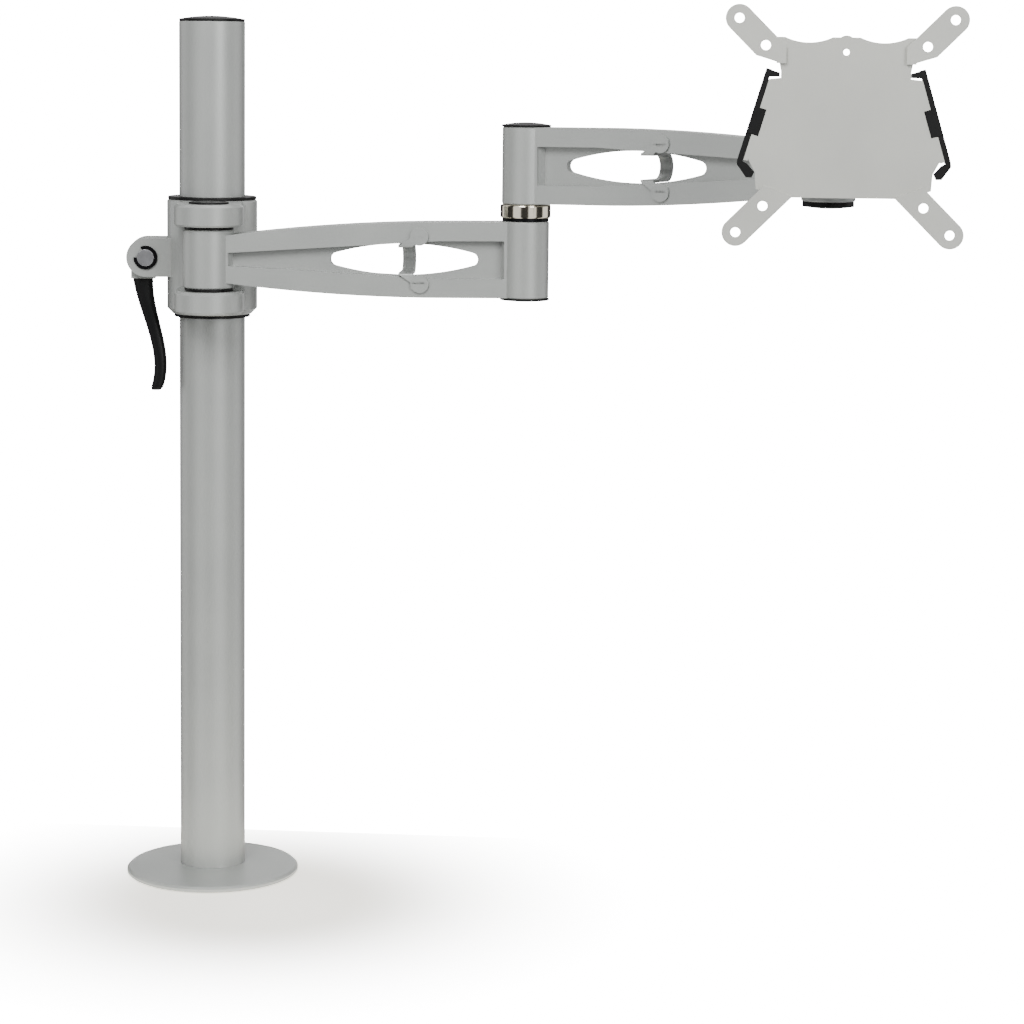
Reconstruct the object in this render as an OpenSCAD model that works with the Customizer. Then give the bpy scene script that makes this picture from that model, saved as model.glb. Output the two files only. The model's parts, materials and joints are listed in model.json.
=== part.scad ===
// Desk-mounted monitor arm: a round post with a foot flange, a clamping collar,
// two cast arms with an elbow joint, and a swivel, tilt and turn head that holds
// a lift-off 75/100 mm monitor plate.
// Origin: centre of the foot's underside. +Z is up the post, the plate faces -Y.

/* [Post and foot] */
// Outside diameter of the post
post_d = 35; // [30:0.5:42]
// Wall of the post
post_wall = 2.5; // [1.5:0.5:4]
// Height of the top of the tube above the desk
post_top = 462; // [420:1:700]
// Diameter of the foot flange
base_d = 93; // [84:1:120]
// Height of the flange's rim
base_rim_h = 3; // [2.5:0.5:5]
// Height of the flange at the post
base_h = 5; // [5:0.5:12]
// Thickness of the rubber pad under the flange
pad_t = 0.8; // [0.8:0.1:2]

/* [Collar] */
// Height of the collar's lower face above the desk, at rest
collar_z = 307; // [150:1:340]
// Outside diameter of the collar
collar_d = 48; // [46:0.5:54]
// Wall of the two collar bushes
collar_bush_wall = 1.5; // [1.2:0.1:2]
// Turn of the collar about the post, at rest
carrier_turn = 7.8; // [-180:0.1:180]
// Distance from the post's axis to the arm pivot
pivot_reach = 41.5; // [41:0.5:55]
// Diameter of the round front lugs
lug_d = 35.8; // [33:0.2:40]
// Thickness of the upper lug
lug_top_t = 11.5; // [10:0.5:13]
// Thickness of the lower lug
lug_low_t = 11.4; // [10:0.2:13]
// Diameter of the arm pivot bolt
pivot_d = 12; // [10:0.5:13]

/* [Lever] */
// Distance from the post's axis to the lever's pin
lever_reach = 34.8; // [33:0.2:40]
// Diameter of the lever's pin
lever_pin_d = 9; // [7:0.5:10]
// Diameter of the round end of the lever ears
ear_d = 20.6; // [19:0.2:24]
// Thickness of each ear
ear_t = 6; // [4:0.5:8]
// Width of the lever's hub between the ears
hub_w = 9.4; // [8:0.2:12]
// Length of the black grip below the hub
grip_len = 60; // [45:1:80]
// How far the cam is off centre
cam_throw = 0.6; // [0.4:0.1:0.9]

/* [Arms] */
// Distance between the two axes of an arm
arm_len = 164.8; // [150:0.2:220]
// Direction of the lower arm, at rest
lower_dir = 1.1; // [-60:0.1:60]
// Direction of the upper arm, at rest
upper_dir = -21.5; // [-60:0.1:60]
// Height of an arm near the elbow
arm_h = 39.2; // [36:0.2:42]
// Height of an arm at its small end
arm_end_h = 22; // [20:0.5:28]
// Thickness of an arm's top and bottom rims
arm_t = 17; // [14:0.5:20]
// Thickness of the web between the rims
web_t = 5; // [3:0.5:8]
// Where an arm begins to taper, from the elbow axis
taper_start = 40; // [30:1:60]
// Rise of the small end above the elbow end
arm_rise = 2; // [0:0.5:4]
// Length of the lens window
window_l = 76.6; // [60:0.2:90]
// Height of the lens window
window_h = 16.4; // [12:0.2:17]
// Radius of the lens window's ends
window_end_r = 3.5; // [2:0.5:5]
// Middle of the window, from the elbow axis
window_mid = 62.6; // [56:0.2:75]
// Height of the web pocket near the elbow
pocket_h = 19.6; // [18:0.2:24]
// Height of the web pocket at its narrow end
pocket_end_h = 6.8; // [4:0.2:10]
// Diameter of the elbow barrels
elbow_d = 24.6; // [23.4:0.2:28]
// Height of the elbow barrels
elbow_h = 39.8; // [38:0.2:46]
// Diameter of the small barrels
end_d = 26.6; // [24:0.2:30]
// Height of the small barrels
end_h = 30.4; // [28:0.2:34]
// Diameter of the elbow spindle's running part
spindle_d = 14; // [12:0.5:15]
// Height of the plated spacer ring
ring_h = 6.9; // [4:0.1:10]
// Height of the dark washer under the ring
ring_washer_t = 1.7; // [1:0.1:3]
// Thickness of the flanges of the pivot bushes
flange_t = 1.5; // [1:0.1:2.5]

/* [Cable clips] */
// Width of the strap
clip_w = 7; // [5:0.5:9]
// Thickness of the strap
clip_t = 1.5; // [1:0.1:2]
// How far the strap stands to one side of its two round ends
clip_offset = 7.5; // [0:0.5:9]
// Place of the lower clip's round ends, from the elbow axis
lower_clip_at = 54; // [50:1:66]
// Place of the upper clip's round ends, from the elbow axis
upper_clip_at = 79; // [60:1:82]

/* [Head] */
// Height of the swivel neck
neck_h = 12; // [10:0.5:16]
// Sideways offset of the head from the arm's end
head_offset = 4.7; // [0:0.1:6]
// Distance from the arm's end axis to the plate's front
head_reach = 66.8; // [64:0.2:90]
// Distance from the tilt axis to the plate's front
tilt_reach = 30; // [28:0.5:34]
// Diameter of the tilt knuckle
knuckle_d = 18; // [16:0.5:20]
// Width of the tilt knuckle
knuckle_w = 16; // [12:0.5:20]
// Diameter of the tilt and turn bolts
bolt_d = 8; // [6:0.5:8]
// Thickness of the fork's sheet
fork_t = 3; // [2:0.5:3.5]
// Diameter of the fork's round front
fork_d = 44; // [40:1:52]

/* [Monitor plate] */
// Hole spacing of the larger pattern
vesa_large = 100; // [100]
// Hole spacing of the smaller pattern
vesa_small = 75; // [75]
// Diameter of the pattern holes
vesa_hole_d = 4.6; // [4.2:0.1:5.4]
// Thickness of the plate's sheet
sheet_t = 2; // [1.5:0.1:2.5]
// Width of the four tabs
tab_w = 13; // [11:0.5:15]
// How far the tabs stand in front of the body
joggle = 2; // [1:0.2:3]
// Half width of the body at its narrow top
body_top_x = 30.4; // [28:0.2:31]
// Half width of the body at its widest
body_wide_x = 45.6; // [42:0.2:47]
// Top edge above the centre
body_top_z = 39; // [36:0.5:42]
// Bottom edge below the centre
body_low_z = 33.4; // [31:0.2:36]
// Diameter of the locking hole at the top
lock_hole_d = 3; // [2.4:0.1:4]
// Length of the folded side flanges
side_len = 44; // [36:1:46]
// Lean of the side flanges
side_lean = 16.6; // [12:0.1:20]
// Thickness of the plastic edge liners
liner_t = 2.6; // [2:0.1:4]

/* [Clearances] */
// Radial clearance of turning fits
run_gap = 0.06; // [0.03:0.01:0.1]
// Radial clearance of fixed pins and screws
fix_gap = 0.03; // [0.02:0.01:0.08]
// Gap between faces that slide past each other
face_gap = 0.2; // [0.1:0.05:0.4]

/* [Hidden] */
$fn = 72;

GREY = "#a8aba8";
PALE = "#c4c5be";
BLACK = "#1c1c1e";
STEEL = "#9a9c9e";
CHROME = "#d8d2c4";
over = 1; // how far a cut runs past a face
fine = 720; // for arcs of large radius

post_r = post_d / 2;
tube_bore_r = post_r - post_wall;
flange_web = 3.5; // flange left under the post's end
post_low = pad_t + flange_web;
foot_len = 26;
foot_r = tube_bore_r - fix_gap;
desk_tap_r = 4.25;
desk_way_r = 6.5;
screw_r = 2.5;
screw_head_r = 4.6;
screw_circle_r = 10;
pad_r = base_d / 2 - 4;
flange_edge = 1.2;
screw_head_t = 1.8;
screw_sink = 2;
screw_grip = 14; // how far a screw reaches past its head

barrel_gap = 0.1; // end float of a pivot barrel, each side
bush_in_r = post_r + run_gap;
bush_out_r = bush_in_r + collar_bush_wall;
bush_len = 18;
bush_flange_t = 1.6;
collar_r = collar_d / 2;
collar_bore_r = bush_out_r + run_gap;
collar_rim_low = 3.9; // collar below its lower lug
collar_rim_top = 0.4; // collar above its upper lug

lug_in = end_h / 2 + flange_t + 2 * barrel_gap; // arm's middle to a lug's inner face
arm_mid = collar_z + collar_rim_low + lug_low_t + lug_in; // middle of the lower arm's small barrel
collar_top = arm_mid + lug_in + lug_top_t + collar_rim_top;
collar_h = collar_top - collar_z;
lug_r = lug_d / 2;
pivot_r = pivot_d / 2;
pivot_head_r = 9;
pivot_head_h = 4;
nut_h = 6;
pivot_cap_r = 10.4;
pivot_cap_t = 1;
m10_r = 5;
m10_nut_r = 9.8;
m8_nut_r = 7.5;

lever_z = arm_mid - 2;
ear_in = hub_w / 2 + 0.3;
ear_out = ear_in + ear_t;
lever_pin_r = lever_pin_d / 2;
clip_groove_r = lever_pin_r - 0.6;
clip_ring_t = 1;
clip_ring_r = lever_pin_r + 1.8;
clip_at = ear_out + clip_ring_t / 2 + 0.15;
cam_r = 8.3;
hub_low = 11.6; // pin axis to the top of the grip
shoe_r = 7;
shoe_pad_t = 2;
shoe_face = post_r + 0.15;
shoe_back = lever_reach - cam_r - cam_throw - 0.2;

bush_r = 8; // outside of the small-barrel bushes
end_bore_r = bush_r + fix_gap;
end_bush_flange_r = 12.7;
spindle_r = spindle_d / 2;
elbow_bush_r = spindle_r + 2;
elbow_bore_r = elbow_bush_r + fix_gap;
elbow_recess_r = 10.5;
elbow_recess = 9;
cap_r = elbow_d / 2 + 0.5;
cap_t = 1;
ring_r = elbow_d / 2 + 0.7;
ring_washer_r = elbow_d / 2 - 0.3;

lower_elbow_mid = arm_mid + arm_rise;
stack = ring_washer_t + ring_h + face_gap;
upper_elbow_mid = lower_elbow_mid + elbow_h + stack;
head_mid = upper_elbow_mid + arm_rise;

// plan places of the three vertical axes
pivot_at = pivot_reach * [sin(carrier_turn), -cos(carrier_turn)];
elbow_at = pivot_at + arm_len * [cos(lower_dir), sin(lower_dir)];
head_at = elbow_at + arm_len * [cos(upper_dir), sin(upper_dir)];

neck_low = head_mid + end_h / 2 + flange_t + face_gap;
tilt_z = neck_low + neck_h / 2;
plate_x = head_at[0] + head_offset;
plate_y = head_at[1] - head_reach;
head_spindle_r = 6;

taper_drop = (arm_h - arm_end_h) / 2;
taper_r = (pow(arm_len - taper_start, 2) + pow(taper_drop, 2)) / (2 * taper_drop);
rise_angle = asin(arm_rise / arm_len);

// the window is an oval of two large arcs and two round ends
oval_a = window_l / 2 - window_end_r;
oval_b = window_h / 2;
oval_r = (pow(oval_a, 2) + pow(oval_b, 2) - pow(window_end_r, 2)) / (2 * (oval_b - window_end_r));
oval_x = oval_a * oval_r / (oval_r - window_end_r);
function oval_half(x) = sqrt(pow(oval_r, 2) - pow(x, 2)) - (oval_r - oval_b);

// depths behind the plate's front, towards +Y
body_front = joggle;
body_back = joggle + sheet_t;
receiver_t = 4;
receiver_front = body_back + 0.3;
receiver_back = receiver_front + receiver_t;
lip_front = receiver_back + 0.3;
lip_back = lip_front + sheet_t;
boss_back = lip_back + 0.3;
turn_washer_t = 1.2;
fork_front = boss_back + turn_washer_t;
fork_back = fork_front + fork_t;
boss_r = 17;
bolt_r = bolt_d / 2;
turn_nut_h = 4.6;
tilt_washer_t = 1.2;
cheek_in = knuckle_w / 2 + tilt_washer_t + 0.1;
cheek_out = cheek_in + fork_t;
cheek_r = 10;
lip_w = 6;

module chamfered_cylinder(r, h, low = 0, high = 0) {
    rotate_extrude()
        polygon([[0, 0], [r - low, 0], [r, low], [r, h - high], [r - high, h], [0, h]]);
}

module hex_nut(r, h, bore) {
    difference() {
        cylinder(r = r, h = h, $fn = 6);
        translate([0, 0, -over]) cylinder(r = bore, h = h + 2 * over);
    }
}

module tube(outer, inner, h) {
    difference() {
        cylinder(r = outer, h = h);
        translate([0, 0, -over]) cylinder(r = inner, h = h + 2 * over);
    }
}

module domed_cap(r, rim_t, crown, plug_r, plug_wall, plug_h) {
    dome_r = (pow(r - 0.6, 2) + pow(crown, 2)) / (2 * crown);
    cylinder(r = r, h = rim_t);
    translate([0, 0, rim_t - 0.1]) rotate_extrude() intersection() {
        translate([0, crown + 0.1 - dome_r]) circle(r = dome_r, $fn = fine);
        square([r - 0.6, crown + 1]);
    }
    translate([0, 0, -plug_h]) tube(plug_r, plug_r - plug_wall, plug_h);
}

// ---------------------------------------------------------------- post and foot

module base_pad() color(BLACK) tube(pad_r, desk_way_r, pad_t);

module base_flange() color(GREY) {
    rim_top = pad_t + base_rim_h;
    top = pad_t + base_h;
    difference() {
        rotate_extrude() polygon([
            [0, pad_t], [base_d / 2 - 0.5, pad_t], [base_d / 2, pad_t + 0.5],
            [base_d / 2, rim_top - flange_edge], [base_d / 2 - flange_edge, rim_top],
            [post_r + 3, top], [0, top]
        ]);
        translate([0, 0, post_low]) cylinder(r = post_r + fix_gap, h = base_h);
        translate([0, 0, pad_t - over]) cylinder(r = desk_way_r, h = base_h);
        for (i = [0:2]) rotate([0, 0, 120 * i + 60]) translate([screw_circle_r, 0, pad_t]) {
            translate([0, 0, -over]) cylinder(r = screw_r + fix_gap, h = base_h);
            translate([0, 0, -over]) cylinder(r = screw_head_r + fix_gap, h = screw_sink + over);
        }
    }
}

module post_foot() color(STEEL) translate([0, 0, post_low]) difference() {
    cylinder(r = foot_r, h = foot_len);
    translate([0, 0, -over]) cylinder(r = desk_tap_r, h = foot_len + 2 * over);
    for (i = [0:2]) rotate([0, 0, 120 * i + 60]) translate([screw_circle_r, 0, -over])
        cylinder(r = screw_r + fix_gap, h = screw_grip + over);
}

module flange_screws() color(STEEL) for (i = [0:2]) rotate([0, 0, 120 * i + 60])
    translate([screw_circle_r, 0, pad_t]) {
        translate([0, 0, screw_sink - screw_head_t]) difference() {
            cylinder(r = screw_head_r, h = screw_head_t);
            translate([0, 0, -over]) cylinder(r = 1.7, h = 1.1 + over, $fn = 6);
        }
        translate([0, 0, screw_sink - 0.1]) cylinder(r = screw_r, h = screw_grip);
    }

module post_tube() color(GREY) translate([0, 0, post_low])
    tube(post_r, tube_bore_r, post_top - post_low);

module post_cap() color(BLACK) translate([0, 0, post_top])
    domed_cap(post_r - 0.1, 1.4, 1.6, tube_bore_r - fix_gap, 2, 14);

// ---------------------------------------------------------------- collar

module in_carrier() rotate([0, 0, carrier_turn]) children();

module upper_bush() color(BLACK) translate([0, 0, collar_top]) {
    translate([0, 0, -bush_len]) tube(bush_out_r, bush_in_r, bush_len + bush_flange_t);
    tube(collar_r - 0.5, bush_in_r, bush_flange_t);
}

module lower_bush() color(BLACK) translate([0, 0, collar_z]) {
    translate([0, 0, -bush_flange_t]) tube(bush_out_r, bush_in_r, bush_len + bush_flange_t);
    translate([0, 0, -bush_flange_t]) tube(collar_r - 3.8, bush_in_r, bush_flange_t);
}

module front_lug(low, t) translate([0, 0, low]) {
    translate([0, -pivot_reach, 0]) chamfered_cylinder(lug_r, t, 1, 1.4);
    translate([-lug_r, -pivot_reach, 1]) cube([2 * lug_r, pivot_reach, t - 2.4]);
    translate([1.2 - lug_r, -pivot_reach, 0]) cube([2 * lug_r - 2.4, pivot_reach, t]);
}

module lever_ear() {
    rotate([90, 0, 0]) cylinder(r = ear_d / 2, h = ear_t, center = true);
    translate([0, -ear_t / 2, -ear_d / 2]) cube([lever_reach - bush_out_r, ear_t, ear_d]);
}

module collar() color(GREY) in_carrier() difference() {
    union() {
        translate([0, 0, collar_z + 0.1])
            chamfered_cylinder(collar_r, collar_h - 0.2, 3, 0.8);
        front_lug(arm_mid + lug_in, lug_top_t);
        front_lug(arm_mid - lug_in - lug_low_t, lug_low_t);
        for (side = [-1, 1])
            translate([-lever_reach, side * (ear_in + ear_t / 2), lever_z]) lever_ear();
    }
    translate([0, 0, collar_z - over]) cylinder(r = collar_bore_r, h = collar_h + 2 * over);
    translate([0, -pivot_reach, collar_z])
        cylinder(r = pivot_r + fix_gap, h = collar_h + over);
    translate([0, -pivot_reach, arm_mid + lug_in + lug_top_t - pivot_head_h])
        cylinder(r = pivot_head_r + fix_gap, h = pivot_head_h + over);
    translate([0, -pivot_reach, arm_mid - lug_in - lug_low_t - over])
        cylinder(r = m10_nut_r + 0.3, h = nut_h + over);
    translate([-lever_reach, 0, lever_z]) rotate([90, 0, 0])
        cylinder(r = lever_pin_r + fix_gap, h = 2 * ear_out + 2 * over, center = true);
    translate([-shoe_back - over, 0, lever_z]) rotate([0, 90, 0])
        cylinder(r = shoe_r + run_gap, h = shoe_back);
}

module pivot_bolt() color(STEEL) in_carrier() translate([0, -pivot_reach, 0]) {
    top = arm_mid + lug_in + lug_top_t;
    low = arm_mid - lug_in - lug_low_t;
    difference() {
        union() {
            translate([0, 0, top - pivot_head_h]) cylinder(r = pivot_head_r, h = pivot_head_h - 0.1);
            translate([0, 0, low + nut_h]) cylinder(r = pivot_r, h = top - low - nut_h - 1);
            translate([0, 0, low + 0.3]) cylinder(r = m10_r, h = nut_h);
        }
        translate([0, 0, top - 2.6]) cylinder(r = 3.5, h = 3, $fn = 6);
    }
}

module pivot_cap() color(BLACK) in_carrier()
    translate([0, -pivot_reach, arm_mid + lug_in + lug_top_t])
        chamfered_cylinder(pivot_cap_r, pivot_cap_t, 0, 0.4);

module pivot_nut() color(STEEL) in_carrier()
    translate([0, -pivot_reach, arm_mid - lug_in - lug_low_t + 0.4])
        hex_nut(m10_nut_r, nut_h - 0.5, m10_r + fix_gap);

// ---------------------------------------------------------------- lever and shoe

module at_lever() in_carrier() translate([-lever_reach, 0, lever_z]) children();

module lever_pin() color(STEEL) at_lever() rotate([90, 0, 0]) difference() {
    cylinder(r = lever_pin_r, h = 2 * (ear_out + clip_ring_t + 0.6), center = true);
    for (side = [-1, 1]) translate([0, 0, side * clip_at - clip_ring_t / 2 - 0.05])
        tube(lever_pin_r + over, clip_groove_r, clip_ring_t + 0.1);
}

// the C-shaped clips open towards the upper left
module lever_circlips() color(BLACK) at_lever() for (side = [-1, 1])
    translate([0, side * clip_at, 0]) rotate([90, 0, 0])
        difference() {
            cylinder(r = clip_ring_r, h = clip_ring_t, center = true);
            cylinder(r = clip_groove_r + fix_gap, h = 2, center = true);
            rotate([0, 0, 147]) linear_extrude(2, center = true)
                polygon([[0, 0], [12, -7.5], [12, 7.5]]);
        }

module lever_hub() color(GREY) at_lever() difference() {
    union() {
        translate([cam_throw, 0, 0]) rotate([90, 0, 0])
            cylinder(r = cam_r, h = hub_w, center = true);
        translate([-8.2, -hub_w / 2, -hub_low]) cube([13, hub_w, hub_low]);
        translate([-4.2, -2, -hub_low - 14]) cube([5, 4, 15]);
    }
    rotate([90, 0, 0]) cylinder(r = lever_pin_r + run_gap, h = hub_w + over, center = true);
}

// the grip's middle line is one cubic curve, and its width falls towards the tip
function grip_x(t) = -2 * pow(1 - t, 3) - 3 * pow(1 - t, 2) * t
    + 37.2 * (1 - t) * pow(t, 2) + 4.8 * pow(t, 3);
function grip_half(t) = 3.3 + 2.1 * pow(1 - t, 3);

module lever_grip() color(BLACK) at_lever() difference() {
    steps = 16;
    z0 = -hub_low - 0.1;
    rotate([90, 0, 0]) linear_extrude(hub_w, center = true) polygon([
        for (i = [0:steps]) [grip_x(i / steps) - grip_half(i / steps), z0 - grip_len * i / steps],
        for (i = [steps:-1:0]) [grip_x(i / steps) + grip_half(i / steps), z0 - grip_len * i / steps]
    ]);
    translate([-4.2 - fix_gap, -2 - fix_gap, -hub_low - 14 - fix_gap])
        cube([5 + 2 * fix_gap, 4 + 2 * fix_gap, 15]);
}

module brake_shoe() color(STEEL) in_carrier() translate([-shoe_back, 0, lever_z])
    rotate([0, 90, 0]) cylinder(r = shoe_r, h = shoe_back - shoe_face - shoe_pad_t);

module shoe_pad() color(BLACK) in_carrier() difference() {
    translate([-shoe_face - shoe_pad_t, 0, lever_z]) rotate([0, 90, 0])
        cylinder(r = shoe_r - 0.2, h = shoe_pad_t + 1.5);
    translate([0, 0, lever_z - 2 * shoe_r]) cylinder(r = shoe_face, h = 4 * shoe_r);
}

// ---------------------------------------------------------------- arms

module arm_side() {
    translate([0, -arm_h / 2]) square([taper_start, arm_h]);
    intersection() {
        translate([taper_start, -arm_h / 2]) square([arm_len - taper_start, arm_h]);
        translate([taper_start, arm_h / 2 - taper_r]) circle(r = taper_r, $fn = fine);
        translate([taper_start, taper_r - arm_h / 2]) circle(r = taper_r, $fn = fine);
    }
}

module window_shape() translate([window_mid, 0]) {
    intersection() {
        square([2 * oval_x, window_h + 2], center = true);
        translate([0, oval_b - oval_r]) circle(r = oval_r, $fn = fine);
        translate([0, oval_r - oval_b]) circle(r = oval_r, $fn = fine);
    }
    for (side = [-1, 1]) translate([side * oval_a, 0]) circle(r = window_end_r);
}

module pocket_shape() {
    near = elbow_d / 2 - 2;
    far = arm_len - end_d / 2 + 2;
    polygon([
        [near, -pocket_h / 2], [taper_start + 4, -pocket_h / 2], [far, -pocket_end_h / 2],
        [far, pocket_end_h / 2], [taper_start + 4, pocket_h / 2], [near, pocket_h / 2]
    ]);
}

module upright(t) rotate([90, 0, 0]) linear_extrude(t, center = true) children();

// Elbow barrel at the origin, small barrel along +X. The deep recess is on top.
module arm_casting() difference() {
    union() {
        rotate([0, -rise_angle, 0]) difference() {
            upright(arm_t) arm_side();
            for (side = [-1, 1]) translate([0, side * (web_t + arm_t) / 2, 0])
                upright(arm_t) pocket_shape();
            upright(arm_t) window_shape();
        }
        translate([0, 0, -elbow_h / 2]) chamfered_cylinder(elbow_d / 2, elbow_h, 0.6, 0.6);
        translate([arm_len, 0, arm_rise - end_h / 2])
            chamfered_cylinder(end_d / 2, end_h, 0.6, 0.6);
    }
    cylinder(r = elbow_bore_r, h = elbow_h + 2 * over, center = true);
    translate([0, 0, elbow_h / 2 - elbow_recess])
        cylinder(r = elbow_recess_r, h = elbow_recess + over);
    translate([arm_len, 0, arm_rise]) cylinder(r = end_bore_r, h = end_h + 2 * over, center = true);
}

module at_lower() translate([elbow_at[0], elbow_at[1], lower_elbow_mid])
    rotate([0, 0, lower_dir + 180]) rotate([180, 0, 0]) children();
module at_upper() translate([elbow_at[0], elbow_at[1], upper_elbow_mid])
    rotate([0, 0, upper_dir]) children();
module at_elbow(z) translate([elbow_at[0], elbow_at[1], z]) children();
module at_head(z) translate([head_at[0], head_at[1], z]) children();

module lower_arm() color(GREY) at_lower() arm_casting();
module upper_arm() color(GREY) at_upper() arm_casting();

module collar_pivot_bushes() color(BLACK) for (side = [-1, 1])
    translate([pivot_at[0], pivot_at[1], arm_mid]) mirror([0, 0, side < 0 ? 1 : 0]) {
        translate([0, 0, end_h / 2 - 12]) tube(bush_r, pivot_r + run_gap, 12 + flange_t);
        translate([0, 0, end_h / 2]) tube(end_bush_flange_r, pivot_r + run_gap, flange_t);
    }

// A strap that loops behind the arm, hooks over both edges of the window and ends in two
// round tabs on the front rims. Turned round, its strap stands on the tabs' other side.
module cable_clip(at, turned) {
    strap_at = at + (turned ? -1 : 1) * clip_offset;
    reach = oval_half(abs(strap_at - window_mid) + clip_w / 2) - 0.15;
    front = arm_t / 2 + 0.05;
    tab_r = clip_w / 2 + 1.2;
    tab_z = window_h / 2 + 4;
    lean_r = 0.9 * tab_r;
    rotate([0, -rise_angle, 0]) translate([at, 0, 0]) mirror([turned ? 1 : 0, 0, 0]) {
        translate([clip_offset - clip_w / 2, 0, 0]) {
            for (end = [-1, 1])
                translate([0, -front - clip_t, end > 0 ? reach - clip_t : -reach])
                    cube([clip_w, 2 * (front + clip_t), clip_t]);
            translate([0, front + clip_t, 0]) rotate([0, 90, 0]) intersection() {
                tube(reach, reach - clip_t, clip_w);
                translate([-reach, 0, 0]) cube([2 * reach, reach, clip_w]);
            }
        }
        // the front ends lean over to the tabs
        for (end = [-1, 1]) translate([0, -front, 0]) rotate([90, 0, 0]) {
            linear_extrude(clip_t) polygon([
                [clip_offset - clip_w / 2, end * (reach - clip_t)],
                [clip_offset + clip_w / 2, end * (reach - clip_t)],
                [lean_r * cos(50), end * (tab_z + lean_r * sin(50))],
                [-lean_r * cos(50), end * (tab_z + lean_r * sin(50))],
                [-lean_r, end * tab_z]
            ]);
            translate([0, end * tab_z, 0]) cylinder(r = tab_r, h = clip_t);
        }
    }
}

module lower_cable_clip() color(GREY) at_lower() cable_clip(lower_clip_at, false);
module upper_cable_clip() color(GREY) at_upper() cable_clip(upper_clip_at, true);

module elbow_spindle() color(STEEL) {
    low = lower_elbow_mid - elbow_h / 2 + elbow_recess;
    shoulder = lower_elbow_mid + elbow_h / 2 + ring_washer_t + ring_h;
    top = upper_elbow_mid + elbow_h / 2 - elbow_recess;
    at_elbow(0) difference() {
        union() {
            translate([0, 0, low]) cylinder(r = elbow_bush_r, h = shoulder - low);
            translate([0, 0, shoulder]) cylinder(r = spindle_r, h = top - shoulder);
            translate([0, 0, top]) cylinder(r = m10_r, h = elbow_recess - 1.4);
        }
        translate([0, 0, low - over]) cylinder(r = 4 + fix_gap, h = 20);
    }
}

module elbow_bolt() color(STEEL) at_elbow(lower_elbow_mid - elbow_h / 2 + elbow_recess) {
    translate([0, 0, -1.6]) cylinder(r = 10, h = 1.6);
    translate([0, 0, -7]) cylinder(r = m8_nut_r, h = 5.5, $fn = 6);
    translate([0, 0, -1.6]) cylinder(r = 4, h = 18);
}

module elbow_bottom_cap() color(BLACK) at_elbow(lower_elbow_mid - elbow_h / 2)
    mirror([0, 0, 1]) domed_cap(cap_r, cap_t, 0.8, elbow_recess_r - fix_gap, 1.2, 1.8);

module elbow_top_cap() color(BLACK) at_elbow(upper_elbow_mid + elbow_h / 2)
    domed_cap(cap_r, cap_t, 1.2, elbow_recess_r - fix_gap, 1.2, 1.2);

module elbow_washer() color(BLACK) at_elbow(lower_elbow_mid + elbow_h / 2)
    tube(ring_washer_r, elbow_bush_r + fix_gap, ring_washer_t);

module elbow_ring() color(CHROME)
    at_elbow(lower_elbow_mid + elbow_h / 2 + ring_washer_t) difference() {
        chamfered_cylinder(ring_r, ring_h, 0.5, 0.5);
        translate([0, 0, -over]) cylinder(r = elbow_bush_r + fix_gap, h = ring_h + 2 * over);
    }

module elbow_bushes() color(BLACK) {
    low = upper_elbow_mid - elbow_h / 2;
    top = upper_elbow_mid + elbow_h / 2 - elbow_recess;
    at_elbow(low + 0.3) tube(elbow_bush_r, spindle_r + run_gap, 12);
    at_elbow(top - 12.1) tube(elbow_bush_r, spindle_r + run_gap, 12);
}

module elbow_spring_washer() color(STEEL)
    at_elbow(upper_elbow_mid + elbow_h / 2 - elbow_recess + 0.1)
        tube(9.9, m10_r + run_gap, 1.4);

module elbow_nut() color(STEEL) at_elbow(upper_elbow_mid + elbow_h / 2 - elbow_recess + 1.6)
    hex_nut(m10_nut_r, 5.8, m10_r + fix_gap);

// ---------------------------------------------------------------- head

module head_pivot_bushes() color(BLACK) {
    at_head(head_mid + end_h / 2 - 10) tube(bush_r, head_spindle_r + run_gap, 10 + flange_t);
    at_head(head_mid + end_h / 2) tube(end_bush_flange_r, head_spindle_r + run_gap, flange_t);
    at_head(head_mid - end_h / 2 + 11.2) tube(bush_r, head_spindle_r + run_gap, 7);
}

module head_bottom_cap() color(BLACK) at_head(head_mid - end_h / 2)
    mirror([0, 0, 1]) domed_cap(end_bush_flange_r, 2.6, 1, end_bore_r - fix_gap, 1.2, 1.8);

module head_spindle() color(STEEL) {
    low = head_mid - end_h / 2 + 11;
    at_head(low) cylinder(r = head_spindle_r, h = neck_low + neck_h - 3 - low);
    at_head(low - 8.4) cylinder(r = 4, h = 9);
}

module head_spindle_washer() color(STEEL) at_head(head_mid - end_h / 2 + 9.4)
    tube(bush_r - 0.3, 4 + fix_gap, 1.4);

module head_spindle_nut() color(STEEL) at_head(head_mid - end_h / 2 + 3)
    hex_nut(m8_nut_r, 6.3, 4 + fix_gap);

module at_tilt() translate([plate_x, plate_y + tilt_reach, tilt_z]) children();

module head_neck() color(GREY) difference() {
    union() {
        at_head(neck_low) chamfered_cylinder(end_d / 2, neck_h, 0.6, 1);
        translate([plate_x - knuckle_w / 2 + 1, plate_y + tilt_reach, neck_low + 0.5])
            cube([knuckle_w - 2, head_reach - tilt_reach, neck_h - 1]);
        at_tilt() rotate([0, 90, 0]) cylinder(r = knuckle_d / 2, h = knuckle_w, center = true);
    }
    at_head(neck_low - over) cylinder(r = head_spindle_r + fix_gap, h = neck_h - 3 + over);
    at_tilt() rotate([0, 90, 0])
        cylinder(r = bolt_r + run_gap, h = knuckle_w + 2 * over, center = true);
}

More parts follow.
